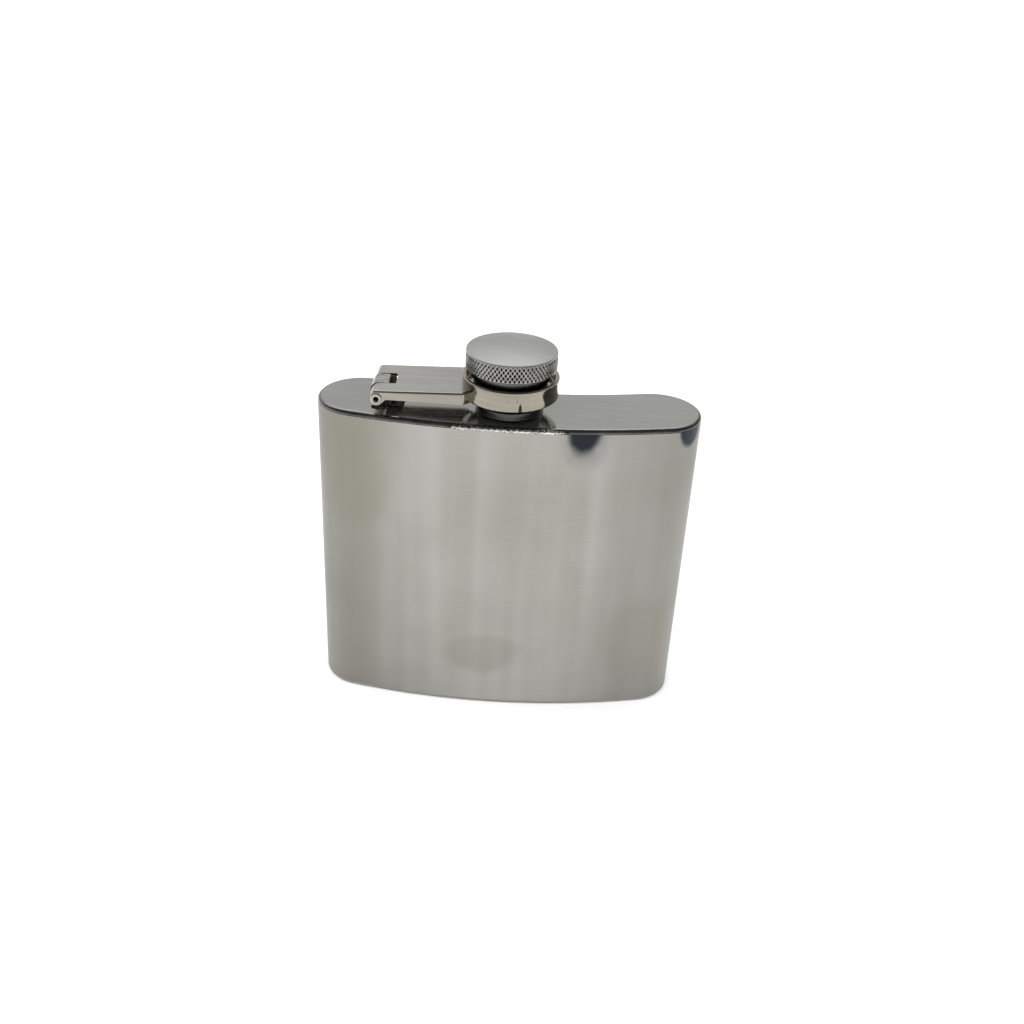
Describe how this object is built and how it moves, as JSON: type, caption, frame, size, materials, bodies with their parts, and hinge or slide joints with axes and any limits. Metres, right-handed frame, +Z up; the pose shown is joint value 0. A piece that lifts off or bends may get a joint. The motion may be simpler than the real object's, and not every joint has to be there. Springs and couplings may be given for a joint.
{
  "type": "hip flask",
  "caption": "Curved pocket flask in brushed stainless steel with a knurled screw cap held captive on a hinged arm.",
  "frame": {"origin": "under the middle of the whole flask, collar included, on the surface it stands on", "axes": "+X along the flask's width, away from the hinge; +Y from the convex front to the concave back; +Z up, along the neck"},
  "size_m": [0.092, 0.026, 0.0963],
  "materials": {
    "wall_steel": "stainless sheet brushed across its width, satin",
    "plate_steel": "pressed stainless sheet, fine satin, nearly mirror at low angles",
    "neck_steel": "turned stainless, bright, darker in the groove",
    "hinge_steel": "bent strip and tube, darkened by welding",
    "arm_steel": "stamped stainless, fine satin along its length",
    "collar_steel": "polished stainless",
    "cap_steel": "turned stainless, satin top and diamond-knurled side",
    "insert_steel": "turned stainless, plain",
    "seal_silicone": "matte translucent silicone"
  },
  "bodies": {
    "flask": {"body_wall": "wall_steel", "top_plate": "plate_steel", "bottom_plate": "plate_steel", "neck": "neck_steel", "hinge_bracket": "hinge_steel"},
    "arm": {"hinge_arm": "arm_steel", "hinge_pin": "hinge_steel", "cap_collar": "collar_steel"},
    "seal": {"cap_seal": "seal_silicone"},
    "cap": {"cap_shell": "cap_steel", "cap_insert": "insert_steel"}
  },
  "joints": [
    {"name": "arm_hinge", "type": "hinge", "parent": "flask", "child": "arm", "pos_m": [-0.0305, -0.00156, 0.08435], "axis": [0, -1, 0], "range_deg": [0, 180]},
    {"name": "cap_rise", "type": "slide", "parent": "arm", "child": "seal", "axis": [0, 0, 1], "range_m": [-0.0016, 0]},
    {"name": "cap_turn", "type": "hinge", "parent": "seal", "child": "cap", "pos_m": [0, -0.00156, 0.09], "axis": [0, 0, 1], "range_deg": [-576, 0]}
  ],
  "couplings": [
    {"joint": "cap_rise", "follows": "cap_turn", "m_per_rad": 0.00015915}
  ]
}
